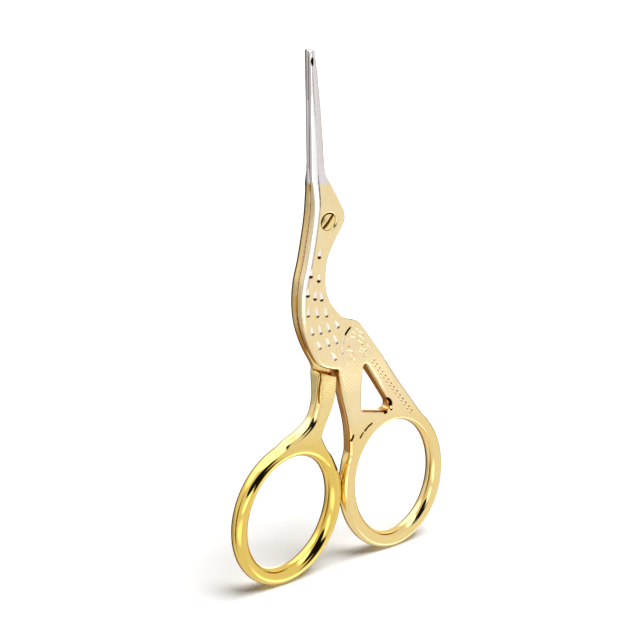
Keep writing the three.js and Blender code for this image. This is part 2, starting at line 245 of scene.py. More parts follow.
def frontOutline():
    tail = spline([headTopRight, *headRight, *throat, *front["back"]])
    tailEnd = spline(intoRim(frontBow, (48, 40, 33)))
    leg = spline([*intoRim(frontBow, (144, 151, 158))[::-1], *front["leg"]])
    shoulder = spline([front["leg"][-1], front["shoulder"], front["belly"][0]])
    return np.vstack([tail, tailEnd, rimArc(frontBow, 44, 139), leg, shoulder, frontLeftEdge()])


def frontLeftEdge():
    return spline([*front["belly"], *breast, *headLeft, headTopLeft])


def frontLeftSide():
    # everything to the right of the front half's left edge
    beyond = [(farLeft, fullLength), (farLeft, farUp), (farOut, farUp)]
    return np.vstack([[(farOut, 10)], frontLeftEdge(), beyond])


def bevelSize(z):
    heights, widths, drops = zip(*front["bevel"])
    return np.interp(z, heights, widths), np.interp(z, heights, drops)


def bevelDepth(across, y, z, half):
    width, drop = bevelSize(z)
    return ((-y - half) * width + (width - across) * drop) / np.hypot(width, drop)


def roundedCorner(before, corner, after, radius):
    a, b, c = (np.array(p, float) for p in (before, corner, after))
    start = b + (a - b) / np.linalg.norm(a - b) * radius
    end = b + (c - b) / np.linalg.norm(c - b) * radius
    t = np.linspace(0, 1, 12)[:, None]
    return (1 - t) ** 2 * start + 2 * t * (1 - t) * b + t ** 2 * end


def openingOutline():
    corners = front["opening"]
    turns = []
    for k, (cx, cz, radius) in enumerate(corners):
        before, after = corners[k - 1], corners[(k + 1) % 3]
        turns.append(roundedCorner(before[:2], (cx, cz), after[:2], radius))
    return np.vstack(turns)


bowTop = rearBow["centre"][1] * 2
rear = {
    "outer": [(-11.6, bowTop + 0.6), (-8.6, bowTop + 1.9), (-6.5, bowTop + 3.6), (-5.5, 33), (-5.4, 37),
              (-5.3, 38.8)],
    "hidden": [(-2.55, 48), (-1.65, 42)],  # behind the front half
    "inner": [(-1.65, 36.6), (-1.7, 33.4), (-2.45, 30.7), (-3.8, bowTop + 1.8), (-4.6, bowTop - 0.3)],
    "ledge": [(-5.5, 38.2), (-1.65, 36.6)],  # just clear of the front half's belly
    "edge": 0.5, "legEdge": 0.95, "bowEdge": 1.3, "bowToLeg": (25, 31), "legToEdge": (36, 41), "outerTop": 45,
}


def rearOuterEdge():
    return spline([*intoRim(rearBow, (120, 130, 140))[::-1], *rear["outer"], *breast, *headLeft, headTopLeft])


def rearOuterSide():
    # everything to the right of the rear half's left edge
    edge = rearOuterEdge()
    beyond = [(farLeft, fullLength), (farLeft, farUp), (farOut, farUp), (farOut, -30)]
    return np.vstack([[(edge[0][0], -30)], edge, beyond])


def rearOutline():
    edge = spline([headTopRight, *headRight, *throat, *rear["hidden"], rear["inner"][0]])
    innerEnd = spline(intoRim(rearBow, (64, 54, 46)))
    return np.vstack([edge, spline(rear["inner"]), innerEnd, rimArc(rearBow, 56, 112), rearOuterEdge()])


def ledgeHeight(x):
    return np.interp(x, *zip(*rear["ledge"]))


def gridOf(xRange, zRange, yRange=(-2.1, 2.1), cell=voxel):
    x, y, z = (np.arange(low, high, cell) for low, high in (xRange, yRange, zRange))
    return x[:, None, None], y[None, :, None], z[None, None, :]


def meshFromField(name, field, x, y, z, cell=voxel):
    grid = openvdb.FloatGrid(3.0)
    grid.copyFromArray(np.ascontiguousarray(field, dtype=np.float32))
    points, quads = grid.convertToQuads(0.0)
    origin = np.array([x.flat[0], y.flat[0], z.flat[0]])
    mesh = bpy.data.meshes.new(name)
    mesh.from_pydata((points * cell + origin) * mm, [], quads.tolist())
    mesh.update()
    piece = bpy.data.objects.new(name, mesh)
    bpy.context.scene.collection.objects.link(piece)
    return piece


# cut work on the front faces: how deep each cut is, how much painted shade it holds and how much painted
# highlight it gets

feathers = {
    "depth": 0.2,
    "width": 0.95,
    "wall": 0.32,  # length of the steep lower end
    "paintedShade": [(42, 0.4), (49, 0.65), (53, 1.0)],  # height of the foot, and how much painted shade it holds
    # upper and lower end of each gouge, from the neck down
    "strokes": [
        ((-5.4, 60.4), (-5.75, 58.75)),
        ((-7.2, 57.3), (-7.42, 55.7)), ((-5.6, 56.4), (-5.85, 54.6)),
        ((-7.85, 54.1), (-8.05, 52.45)), ((-6.35, 53.5), (-6.6, 51.6)), ((-5.35, 53.0), (-5.15, 51.15)),
        ((-7.8, 50.8), (-8.0, 48.95)), ((-6.35, 50.6), (-6.0, 48.45)), ((-4.7, 50.2), (-4.1, 48.1)),
        ((-7.45, 47.2), (-7.0, 45.5)), ((-5.95, 47.3), (-5.3, 45.3)), ((-4.25, 47.3), (-3.55, 45.35)),
        ((-2.6, 47.2), (-1.65, 45.6)),
        ((-6.3, 44.4), (-5.45, 42.6)), ((-4.5, 44.6), (-3.6, 42.75)), ((-2.95, 44.8), (-1.95, 42.8)),
        ((-3.4, 41.8), (-2.2, 39.85)),
    ],
}

# painted light on the wing: the slash is painted dark as painted shade, the rim, quill and veins carry painted
# highlights and the dots painted shade
wing = {
    "slash": {"points": [(-0.3, 43.95), (0.1, 44.55), (0.95, 45.3)], "width": 0.34, "depth": 0.24, "paintedShade": 1.5},
    "rim": {"points": [(-0.3, 43.9), (-0.65, 43.3), (-0.95, 42.4), (-1.0, 41.5), (-0.85, 40.8), (-0.5, 40.0),
                       (-0.05, 39.0), (0.6, 38.1)], "width": 0.4, "depth": 0.13, "paintedGlint": 0.55},
    "quill": {"points": [(0.75, 43.7), (1.25, 42.4), (1.75, 41.3), (2.25, 40.2), (2.9, 38.7)], "width": 0.5,
              "depth": 0.08, "paintedGlint": 0.28},
    "vein": {"width": 0.42, "depth": 0.045, "paintedGlint": 0.12},
    "veins": [
        [(0.2, 43.1), (0.35, 42.3), (0.55, 41.7)],
        [(0.1, 41.2), (0.7, 40.2), (1.3, 39.3)],
        [(1.2, 44.3), (1.9, 43.6), (2.3, 42.8)],
        [(1.9, 44.7), (2.5, 44.0), (3.2, 43.4)],
        [(2.3, 42.4), (3.0, 41.8), (3.5, 41.4)],
        [(2.4, 43.3), (3.3, 42.6), (4.1, 41.6)],
        [(3.4, 40.6), (4.1, 39.7), (4.5, 38.7)],
        [(2.9, 41.0), (3.4, 40.0), (3.7, 38.9)],
        [(4.3, 41.2), (5.0, 40.2), (5.3, 39.2)],
        [(1.0, 43.3), (1.6, 43.0), (2.2, 43.0)],
        [(2.6, 43.4), (3.3, 43.5), (3.4, 42.95)],
        [(2.6, 40.4), (3.65, 39.7), (4.45, 40.6)],
        [(0.0, 40.7), (0.65, 40.85), (1.45, 40.4)],
        [(0.65, 39.6), (1.4, 39.2), (2.05, 38.5)],
    ],
    "dot": {"size": (0.4, 0.28), "depth": 0.08, "paintedShade": 0.45, "lean": -20},
    "dots": [(0.52, 41.75), (1.3, 39.35), (3.42, 41.5), (-0.7, 40.75)],
}

# a row of paired ticks down the tail: the second of a pair is shifted and leans the other way
# the ticks are cut in and painted dark inside, a painted shade
tailTicks = {"first": (6.1, 37.9), "step": (0.677, -0.907), "count": 14,
             "pair": [((0, 0), 65), ((-0.33, -0.36), -35)],
             "tick": {"size": (0.55, 0.21), "depth": 0.1, "paintedShade": 0.66}}
# a shallow dimple near the tip of the blade, painted near black as a painted dark reflection
tipDarkReflection = {"centre": (-6.35, 92.0), "size": (0.5, 1.7), "depth": 0.12, "paintedShade": 1.8}


def gouge(x, z, start, end, paintedShade):
    # a round-nosed stroke: fine at the top, widening and deepening to a steep rounded foot
    (ax, az), (bx, bz) = start, end
    length = math.hypot(bx - ax, bz - az)
    ux, uz = (bx - ax) / length, (bz - az) / length
    along = ((x - ax) * ux + (z - az) * uz) / length
    across = (x - ax) * uz - (z - az) * ux
    run = np.clip(along, 0, 1)
    rounded = np.sqrt(np.clip(1 - (np.maximum(run - 0.75, 0) / 0.26) ** 2, 0, 1))
    width = feathers["width"] * np.maximum(np.sqrt(run) * rounded, 0.1)
    wall = np.clip((1 - along) * length / feathers["wall"], 0, 1)
    hollow = np.clip(1 - (2 * across / width) ** 2, 0, 1)
    # painted shade fills the steep foot, and a painted highlight runs down the hollow
    reach = feathers["wall"] * (0.3 + 1.5 * paintedShade * paintedShade)
    foot = smoothStep((1 - along) * length, reach, 0.5 * reach) * (along < 1)
    footShade = foot * smoothStep(hollow, 0.1, 0.4)
    paintedGlint = smoothStep(hollow, 0.1, 0.45) * smoothStep(run, 0.05, 0.25) * (along < 0.99)
    return feathers["depth"] * run ** 1.2 * wall * hollow, footShade, (0.3 + 0.6 * paintedShade) * paintedGlint


def groove(x, z, points, width, depth, paintedShade=0.0, paintedGlint=0.0):
    # a graver line that starts and ends fine, with painted shade and a painted highlight laid in its hollow
    away, place = lineDistance(x, z, spline(points, 6))
    taper = np.clip(4 * np.minimum(place, 1 - place) + 0.25, 0, 1)
    hollow = np.clip(1 - (2 * away / (width * taper)) ** 2, 0, 1)
    filled = smoothStep(hollow, 0, 0.4)
    return depth * taper * hollow, paintedShade * filled, paintedGlint * filled


def dimple(x, z, centre, size, depth, paintedShade, lean=0.0):
    a = math.radians(lean)
    u = (x - centre[0]) * math.cos(a) + (z - centre[1]) * math.sin(a)
    v = (z - centre[1]) * math.cos(a) - (x - centre[0]) * math.sin(a)
    hollow = np.clip(1 - (2 * u / size[0]) ** 2 - (2 * v / size[1]) ** 2, 0, 1)
    # painted shade in the hollow
    return depth * hollow, paintedShade * smoothStep(hollow, 0, 0.5), np.zeros(hollow.shape)


hatching = {"depth": 0.006, "width": 0.3}
frontHatch = {"pitch": 0.52, "direction": (0.707, 0.707), "bend": 0.0, "middle": (1.3, 35.0),
              "half": (2.6, 3.6)}
rearHatch = {"pitch": 0.46, "direction": (0.5, 0.866), "bend": 0.12, "middle": (-2.9, 33.2),
             "half": (1.3, 3.6)}


def hatch(x, z, field):
    # shallow file strokes at an even pitch, fading out round the edge of their field
    dx, dz = x - field["middle"][0], z - field["middle"][1]
    run = dx * field["direction"][0] + dz * field["direction"][1] + field["bend"] * dx * dx
    away = np.abs((run / field["pitch"]) % 1 - 0.5) * field["pitch"]
    fade = np.clip(4 - 4 * ((dx / field["half"][0]) ** 2 + (dz / field["half"][1]) ** 2), 0, 1)
    none = np.zeros(away.shape)
    return hatching["depth"] * fade * np.clip(1 - (2 * away / hatching["width"]) ** 2, 0, 1), none, none


def rearRelief(x, z):
    return hatch(x, z, rearHatch)


def frontRelief(x, z):
    cuts = [gouge(x, z, top, foot, float(np.interp(foot[1], *zip(*feathers["paintedShade"]))))
            for top, foot in feathers["strokes"]]
    cuts += [groove(x, z, **wing[name]) for name in ("slash", "rim", "quill")]
    cuts += [groove(x, z, line, **wing["vein"]) for line in wing["veins"]]
    cuts += [dimple(x, z, dot, **wing["dot"]) for dot in wing["dots"]]
    for k in range(tailTicks["count"]):
        place = np.array(tailTicks["first"]) + k * np.array(tailTicks["step"])
        for shift, lean in tailTicks["pair"]:
            cuts.append(dimple(x, z, place + shift, lean=lean, **tailTicks["tick"]))
    cuts.append(dimple(x, z, **tipDarkReflection))
    cuts.append(hatch(x, z, frontHatch))
    return [np.max(layer, axis=0) for layer in zip(*cuts)]


def cutRelief(piece, reliefAt):
    # the faces under the cut work are divided once, then pressed in
    frontFrom, reach = -0.6 * mm, 0.12
    bm = bmesh.new()
    bm.from_mesh(piece.data)
    faces = [f for f in bm.faces if f.normal.y < -0.75 and f.calc_center_median().y < frontFrom]
    middles = np.array([f.calc_center_median() for f in faces]) / mm
    near = np.zeros(len(faces), bool)
    for dx in (-reach, 0, reach):
        for dz in (-reach, 0, reach):
            near |= reliefAt(middles[:, 0] + dx, middles[:, 2] + dz)[0] > 0
    edges = {e for f, chosen in zip(faces, near) if chosen for e in f.edges}
    bmesh.ops.subdivide_edges(bm, edges=list(edges), cuts=1, use_grid_fill=True)
    bm.normal_update()
    shadeLayer, highlightLayer = (bm.verts.layers.float.new(name) for name in ("paintedShade", "paintedHighlight"))
    facing = [v for v in bm.verts if v.normal.y < -0.6 and v.co.y < frontFrom]
    places = np.array([v.co for v in facing]) / mm
    for v, depth, paintedShade, paintedGlint in zip(facing, *reliefAt(places[:, 0], places[:, 2])):
        v.co.y += depth * mm
        v[shadeLayer] = paintedShade
        v[highlightLayer] = paintedGlint
    bm.to_mesh(piece.data)
    bm.free()


def paintPoints(piece, name, valueAt):
    # raises a painted layer to the values found at each point
    mesh = piece.data
    places = np.empty(3 * len(mesh.vertices))
    mesh.vertices.foreach_get("co", places)
    layer = mesh.attributes.get(name) or mesh.attributes.new(name, "FLOAT", "POINT")
    values = np.empty(len(mesh.vertices))
    layer.data.foreach_get("value", values)
    x, y, z = places.reshape(-1, 3).T / mm
    layer.data.foreach_set("value", np.maximum(values, valueAt(x, y, z)))


def darkReflectionsAt(x, y, z, darkReflections):
    # painted dark reflections: fine dark lines on the front, each a line, half its width and how dense it is
    found = np.zeros(x.shape)
    for points, reach, strength in darkReflections:
        away = lineDistance(x, z, spline(points, 6))[0]
        found = np.maximum(found, strength * smoothStep(away, reach, 0.5 * reach) * smoothStep(y, -0.4, -0.7))
    return found


# painted shade of the lap between the halves, on the last hair of each half's wall: dark on the breast, painted
# toward grey steel on the neck
seam = {"fade": (0.3, 0.15), "from": (41, 43), "paintedShade": [(46, 0.85), (54, 0.34), (69, 0.34), (73, 0.8)],
        "grey": 0.55, "greyFrom": (48, 54)}


def seamBand(x, y, z, side):
    band = smoothStep(np.abs(outlineDistance(x, z, side)), *seam["fade"])
    return band * smoothStep(np.abs(y), *seam["fade"]) * smoothStep(z, *seam["from"])


def seamShade(x, y, z, side):
    return np.interp(z, *zip(*seam["paintedShade"])) * seamBand(x, y, z, side)


def seamGreying(x, y, z, side):
    return seam["grey"] * seamBand(x, y, z, side) * smoothStep(z, *seam["greyFrom"])


def finishMesh(piece):
    mesh = piece.data
    mesh.polygons.foreach_set("use_smooth", np.ones(len(mesh.polygons), bool))
    mesh.update()
    print(piece.name, "has", sum(len(p.vertices) - 2 for p in mesh.polygons), "triangles")


frontPaint = {
    "seat": 1.62, "opening": 0.36, "legSide": 0.4, "legSideStart": (1.6, 21.5), "bevelFrom": (47, 58),
    # painted dark reflections: glints at the opening's lower right corner, lines beside the finger hole and a
    # mark on the leg
    "darkReflections": [
        ([(9.6, 29.6), (10.2, 28.9), (10.3, 28.2)], 0.3, 1.2), ([(8.9, 27.05), (9.3, 27.1)], 0.28, 1.0),
        ([(3.5, 23.75), (4.15, 24.55)], 0.17, 1.5), ([(4.5, 24.8), (5.3, 25.45), (6.05, 25.8)], 0.18, 1.7),
        ([(1.75, 23.6), (2.1, 24.6)], 0.2, 1.3),
    ],
}


def frontHalf():
    x, y, z = gridOf((-10, 23.5), (-0.6, 94.6))
    flatX, flatZ = x[:, 0, :], z[:, 0, :]
    half = plateHalf(z)
    opening = soften(outlineDistance(flatX, flatZ, openingOutline()), 0.7)
    cornerEdge, wallEdge = front["openingEdges"]
    d2 = roundedMax(headAndBlade(flatX, flatZ, frontOutline()), -opening, cornerEdge)[:, None, :]
    edge = mix(front["legEdge"], front["edge"], smoothStep(z, *front["legToEdge"]))
    body = roundedMax(d2, np.abs(y) - half, mix(edge, plate["arris"], smoothStep(z, *plate["edgeToArris"])))
    body = smoothMin(body, bowRing(frontBow, x, y, z), rim["blend"])
    body = roundedMax(body, -opening[:, None, :], wallEdge)
    body = np.maximum(body, groundFacet(1, x, -y, z, half))
    across = -soften(outlineDistance(flatX, flatZ, frontLeftSide()), 1)[:, None, :]
    bevel = bevelDepth(across, y, z, half)
    body = roundedMax(body, np.where(z > front["bevelFrom"], bevel, -5), front["bevelEdge"])
    pastStep, aboveStep = flatX - front["step"][0], flatZ - front["step"][1]
    upper = np.where(pastStep < 0, -1.0, -(aboveStep - pastStep * front["stepRise"]))
    step = np.where(aboveStep < 0, pastStep, upper)
    cut = np.maximum(step[:, None, :], -(y + plate["lapGap"]))
    body = roundedMax(body, -cut, plate["arris"])
    seat = np.hypot(x - pivot[0], z - pivot[1])
    body = roundedMax(body, -np.maximum(seat - front["seat"], y - front["seatFloor"]), front["seatEdge"])
    body = np.maximum(body, -(seat - plate["bore"]))
    piece = meshFromField("frontHalf", body, x, y, z)
    cutRelief(piece, frontRelief)

    def seatShade(x, y, z):
        # painted shade: a dark crescent at the upper left of the screw's seat
        u, v = x - pivot[0], z - pivot[1]
        away = np.hypot(u, v)
        crescent = (away < frontPaint["seat"]) * smoothStep((v - u) / away, -0.6, 0.6)
        return smoothStep(y, -1.86, -1.75) * crescent

    def wallShade(x, y, z):
        # painted reflection: an amber tone on the walls of the opening and on the leg's left side, for the gold
        # they mirror
        wall = smoothStep(outlineDistance(x, z, openingOutline()), 0.4, 0.15) * smoothStep(np.abs(y), 1.2, 0.9)
        legSide = [frontPaint["legSideStart"], *front["leg"], front["belly"][0]]
        side = smoothStep(lineDistance(x, z, legSide)[0], 0.45, 0.2) * smoothStep(np.abs(y), 1.15, 0.85)
        return np.max([frontPaint["opening"] * wall, frontPaint["legSide"] * side,
                       seamShade(x, y, z, frontLeftSide()), darkReflectionsAt(x, y, z, frontPaint["darkReflections"])], axis=0)

    def bevelHighlight(x, y, z):
        # painted highlight: the left bevel is painted near-white steel, fading out on the breast
        away = -outlineDistance(x, z, frontLeftSide())
        above = np.abs(bevelDepth(away, y, z, plateHalf(z)))
        width = bevelSize(z)[0]
        bevel = smoothStep(above, 0.12, 0.05) * smoothStep(away, width + 0.12, width)
        bevel = bevel * smoothStep(z, *frontPaint["bevelFrom"])
        return np.maximum(bevel, seamGreying(x, y, z, frontLeftSide()))

    paintPoints(piece, "paintedShade", seatShade)
    paintPoints(piece, "paintedShade", wallShade)
    paintPoints(piece, "paintedHighlight", bevelHighlight)
    finishMesh(piece)
    return piece


rearPaint = {
    # nook is how dark the painted shade on the ledge under the front half is
    "nook": 0.5, "arrisFrom": (40.5, 43),
    # painted dark reflections along the web's right edge and down the rear leg
    "darkReflections": [([(-4.6, 25.7), (-3.8, 24.1), (-2.95, 22.65), (-2.0, 20.3), (-1.6, 19.1)], 0.27, 1.3),
              ([(-5.2, 32.5), (-5.15, 35.5), (-5.05, 38)], 0.15, 0.9)],
}


def rearHalf():
    x, y, z = gridOf((-23.5, 1.5), (-0.6, 94.6))
    flatX, flatZ = x[:, 0, :], z[:, 0, :]
    half = plateHalf(z)
    d2 = headAndBlade(flatX, flatZ, rearOutline())[:, None, :]
    edge = mix(rear["edge"], plate["arris"], smoothStep(z, *plate["edgeToArris"]))
    body = roundedMax(d2, np.abs(y) - half, edge)
    outerSide = rearOuterSide()
    outerD2 = soften(outlineDistance(flatX, flatZ, outerSide), 1)[:, None, :]
    legEdge = mix(rear["bowEdge"], rear["legEdge"], smoothStep(z, *rear["bowToLeg"]))
    outerEdge = mix(legEdge, rear["edge"], smoothStep(z, *rear["legToEdge"]))
    rounded = np.maximum(body, roundedMax(outerD2, np.abs(y) - half, outerEdge))
    body = np.where(z < rear["outerTop"], rounded, body)
    body = smoothMin(body, bowRing(rearBow, x, y, z), rim["blend"])
    body = np.maximum(body, groundFacet(-1, x, y, z, half))
    cut = np.maximum((ledgeHeight(flatX) - flatZ)[:, None, :], y - plate["lapGap"])
    body = roundedMax(body, -cut, plate["arris"])
    body = np.maximum(body, -(np.hypot(x - pivot[0], z - pivot[1]) - plate["bore"]))
    piece = meshFromField("rearHalf", body, x, y, z)
    cutRelief(piece, rearRelief)

    def edgeShade(x, y, z):
        # a painted dark reflection on the far arris of neck and breast, and painted shade on the ledge under
        # the front half
        outline = smoothStep(outlineDistance(x, z, outerSide), -0.4, -0.2)
        arris = smoothStep(y - plateHalf(z), -0.8, -0.6) * outline
        arris *= smoothStep(z, *rearPaint["arrisFrom"])
        above = z - ledgeHeight(x)
        nook = smoothStep(np.abs(above - 0.1), 0.3, 0.12) * smoothStep(y, -1.2, -0.9) * (x > -6.5) * (y < 0.6)
        return np.max([arris, rearPaint["nook"] * nook, seamShade(x, y, z, outerSide),
                       darkReflectionsAt(x, y, z, rearPaint["darkReflections"])], axis=0)

    paintPoints(piece, "paintedShade", edgeShade)
    paintPoints(piece, "paintedHighlight", lambda x, y, z: seamGreying(x, y, z, outerSide))
    finishMesh(piece)
    return piece


screw = {"head": 1.45, "front": -1.87, "under": -1.1, "shank": 0.84, "back": 1.78, "slot": (0.45, 0.4),
         "crown": 0.1, "edge": 0.12, "slotEdge": 0.07, "cell": 0.07, "slotShade": 0.6}


def pivotScrew():
    reach = screw["head"] + 0.3
    cell = screw["cell"]
    x, y, z = gridOf((pivot[0] - reach, pivot[0] + reach), (pivot[1] - reach, pivot[1] + reach),
                     (-2.2, 2.1), cell)
    u, v = x - pivot[0], z - pivot[1]
    away = np.hypot(u, v)
    front = screw["front"] + screw["crown"] * (away / screw["head"]) ** 2 - y
    head = roundedMax(away - screw["head"], np.maximum(front, y - screw["under"]), screw["edge"])
    shank = np.maximum(away - screw["shank"], np.maximum(screw["under"] - 0.3 - y, y - screw["back"]))
    width, depth = screw["slot"]
    slot = np.maximum(np.abs(v - u) / math.sqrt(2) - width / 2, y - screw["front"] - depth)
    solid = roundedMax(np.minimum(head, shank), -slot, screw["slotEdge"])
    piece = meshFromField("pivotScrew", solid, x, y, z, cell)

    def slotShade(x, y, z):
        # painted shade in the slot, and a dark crescent of painted shade round the upper left of the head
        u, v = x - pivot[0], z - pivot[1]
        inSlot = np.abs(v - u) / math.sqrt(2) < width / 2 + 0.02
        inSlot = inSlot * smoothStep(y, screw["front"] + 0.1, screw["front"] + 0.3)
        crescent = smoothStep(np.hypot(u, v), 1.22, 1.34) * smoothStep(v - 0.6 * u, 0.1, 0.9)
        return np.maximum(screw["slotShade"] * inSlot, crescent)

    paintPoints(piece, "paintedShade", slotShade)
    finishMesh(piece)
    return piece


print("shapes")
frontPiece, rearPiece, screwPiece = frontHalf(), rearHalf(), pivotScrew()
for piece, body, node, slot in ((frontPiece, "front", "front_half", "gold_plated_steel"),
                                (rearPiece, "rear", "rear_half", "gold_plated_steel"),
                                (screwPiece, "rear", "pivot_screw", "screw_gold_plate")):
    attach(piece, body)
    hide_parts(node)


# materials

def linearRgb(code):
    parts = [int(code[k:k + 2], 16) / 255 for k in (1, 3, 5)]
    return (*[c / 12.92 if c <= 0.04045 else ((c + 0.055) / 1.055) ** 2.4 for c in parts], 1)


def addNode(tree, kind, settings=None, links=None):
    node = tree.nodes.new(kind)
    for name, value in (settings or {}).items():
        if isinstance(name, int) or name in node.inputs:
            node.inputs[name].default_value = value
        else:
            setattr(node, name, value)
    for name, socket in (links or {}).items():
        tree.links.new(socket, node.inputs[name])
    return node


def newMaterial(name):
    material = bpy.data.materials.new(name)
    material.use_nodes = True
    material.node_tree.nodes.clear()
    return material, material.node_tree


# gold plate on forged steel; lengths and heights in millimetres
plating = {
    "blotch": 0.7, "grain": 0.22, "grainDepth": 0.02,
    "wheelLine": 0.12,  # real wheel lines are finer and would not show
    "ends": (71.0, 71.7), "wave": 0.5,
    "bowShadeHeights": (22, 30), "bowPolish": (25, 36), "bowPeel": 0.03,
    # the colour of bare steel, the near-white steel of the painted highlights, and the amber and near-black of
    # the painted shade
    "bareSteel": "#E2DCDC", "highlightSteel": "#F8F5F1", "steelRoughness": 0.22,
    "lightShadeAmber": "#B57A22", "deepShadeBlack": "#140C06",
}


def goldPlateOnSteel(name, tones):
    # thin gold over polished steel, tumbled satin on the plates and buffed bright on the bows
    material, tree = newMaterial(name)
    place = addNode(tree, "ShaderNodeTexCoord").outputs["Object"]
    height = addNode(tree, "ShaderNodeSeparateXYZ", links={0: place}).outputs["Z"]
    blotch = addNode(tree, "ShaderNodeTexNoise", {"Scale": 1 / (plating["blotch"] * mm), "Detail": 3.0},
                     {"Vector": place})
    grain = addNode(tree, "ShaderNodeTexNoise", {"Scale": 1 / (plating["grain"] * mm), "Detail": 2.0},
                    {"Vector": place})
    cloud = addNode(tree, "ShaderNodeMapRange", {"From Min": 0.35, "From Max": 0.65}, {0: blotch.outputs[0]})
    gold = addNode(tree, "ShaderNodeMix",
                   {"data_type": "RGBA", 6: linearRgb(tones["warm"]), 7: linearRgb(tones["pale"])},
                   {0: cloud.outputs[0]})
    # the plating stops in a soft wavy line under the beak, bare ground steel beyond it
    wave = plating["wave"] * mm
    ragged = addNode(tree, "ShaderNodeMath", {"operation": "MULTIPLY_ADD", 1: wave, 2: -wave / 2},
                     {0: blotch.outputs[0]})
    level = addNode(tree, "ShaderNodeMath", {"operation": "ADD"}, {0: height, 1: ragged.outputs[0]})
    low, high = plating["ends"]
    bare = addNode(tree, "ShaderNodeMapRange", {"From Min": low * mm, "From Max": high * mm},
                   {0: level.outputs[0]})
    # the bows are painted a deeper gold below the legs, a painted shade for the darker studio they mirror
    low, high = plating["bowShadeHeights"]
    bowShadeMask = addNode(tree, "ShaderNodeMapRange",
                     {"interpolation_type": "SMOOTHSTEP", "From Min": low * mm, "From Max": high * mm},
                     {0: height})
    toned = addNode(tree, "ShaderNodeMix", {"data_type": "RGBA", 6: linearRgb(tones["bow"])},
                    {0: bowShadeMask.outputs[0], 7: gold.outputs[2]})
    # painted highlights turn the gold toward near-white steel, like the bare blade
    paintedHighlight = addNode(tree, "ShaderNodeAttribute", {"attribute_name": "paintedHighlight"}).outputs["Fac"]
    steelAndHighlight = addNode(tree, "ShaderNodeMath", {"operation": "MAXIMUM"}, {0: bare.outputs[0], 1: paintedHighlight})
    steelTones = {6: linearRgb(plating["bareSteel"]), 7: linearRgb(plating["highlightSteel"])}
    steel = addNode(tree, "ShaderNodeMix", {"data_type": "RGBA", **steelTones}, {0: paintedHighlight})
    metal = addNode(tree, "ShaderNodeMix", {"data_type": "RGBA"},
                    {0: steelAndHighlight.outputs[0], 6: toned.outputs[2], 7: steel.outputs[2]})
    # painted shade in the cuts and on edges, amber where it is light and nearly black where it is dense
    paintedShade = addNode(tree, "ShaderNodeAttribute", {"attribute_name": "paintedShade"}).outputs["Fac"]
    thin = addNode(tree, "ShaderNodeMapRange", {"From Max": 0.5}, {0: paintedShade})
    thick = addNode(tree, "ShaderNodeMapRange", {"From Min": 0.5}, {0: paintedShade})
    onGold = addNode(tree, "ShaderNodeMath", {"operation": "SUBTRACT", 0: 1.0}, {1: bare.outputs[0]})
    amberShadeMask = addNode(tree, "ShaderNodeMath", {"operation": "MULTIPLY"},
                   {0: thin.outputs[0], 1: onGold.outputs[0]})
    amber = addNode(tree, "ShaderNodeMix", {"data_type": "RGBA", 7: linearRgb(plating["lightShadeAmber"])},
                    {0: amberShadeMask.outputs[0], 6: metal.outputs[2]})
    colour = addNode(tree, "ShaderNodeMix", {"data_type": "RGBA", 7: linearRgb(plating["deepShadeBlack"])},
                     {0: thick.outputs[0], 6: amber.outputs[2]})
    low, high = plating["bowPolish"]
    upTheLeg = {"interpolation_type": "SMOOTHSTEP", "From Min": low * mm, "From Max": high * mm}
    buff = addNode(tree, "ShaderNodeMapRange",
                   {**upTheLeg, "To Min": tones["bowRoughness"], "To Max": tones["roughness"]}, {0: height})
    rough = addNode(tree, "ShaderNodeMix", {"data_type": "FLOAT", 3: plating["steelRoughness"]},
                    {0: bare.outputs[0], 2: buff.outputs[0]})
    # fine scratches run round the blade from the grinding wheel, a tumbled orange peel covers the gold
    wheel = addNode(tree, "ShaderNodeMapping", {"Scale": (0.08, 0.08, 1)}, {0: place})
    lines = addNode(tree, "ShaderNodeTexNoise", {"Scale": 1 / (plating["wheelLine"] * mm), "Detail": 1.0},
                    {"Vector": wheel.outputs[0]})
    skin = addNode(tree, "ShaderNodeMix", {"data_type": "FLOAT"},
                   {0: bare.outputs[0], 2: grain.outputs[0], 3: lines.outputs[0]})
    peel = addNode(tree, "ShaderNodeMapRange",
                   {**upTheLeg, "To Min": plating["bowPeel"], "To Max": tones["peel"]}, {0: height})
    bump = addNode(tree, "ShaderNodeBump", {"Distance": plating["grainDepth"] * mm},
                   {"Height": skin.outputs[0], "Strength": peel.outputs[0]})
    shader = addNode(tree, "ShaderNodeBsdfPrincipled", {"Metallic": 1.0},
                     {"Base Color": colour.outputs[2], "Roughness": rough.outputs[0],
                      "Normal": bump.outputs[0]})
    addNode(tree, "ShaderNodeOutputMaterial", links={0: shader.outputs[0]})
    return material


# both halves are the same gold plate: the front is painted palest and the rear a deeper gold, painted light and
# shade for what each mirrors; the screw head is turned and gilded
frontPiece.data.materials.append(goldPlateOnSteel("frontGoldPlatePaintedPale", {
    "warm": "#F2DAA4", "pale": "#F4E0B4", "bow": "#EDD290",
    "roughness": 0.2, "bowRoughness": 0.05, "peel": 0.14}))
rearPiece.data.materials.append(goldPlateOnSteel("rearGoldPlatePaintedDeeper", {
    "warm": "#EBCF88", "pale": "#F0DA9C", "bow": "#E7C768",
    "roughness": 0.18, "bowRoughness": 0.05, "peel": 0.12}))
screwPiece.data.materials.append(goldPlateOnSteel("gildedScrewSteel", {
    "warm": "#EED48C", "pale": "#F2DDA2", "bow": "#EED48C",
    "roughness": 0.16, "bowRoughness": 0.18, "peel": 0.12}))
print("materials")


# camera, floor and light

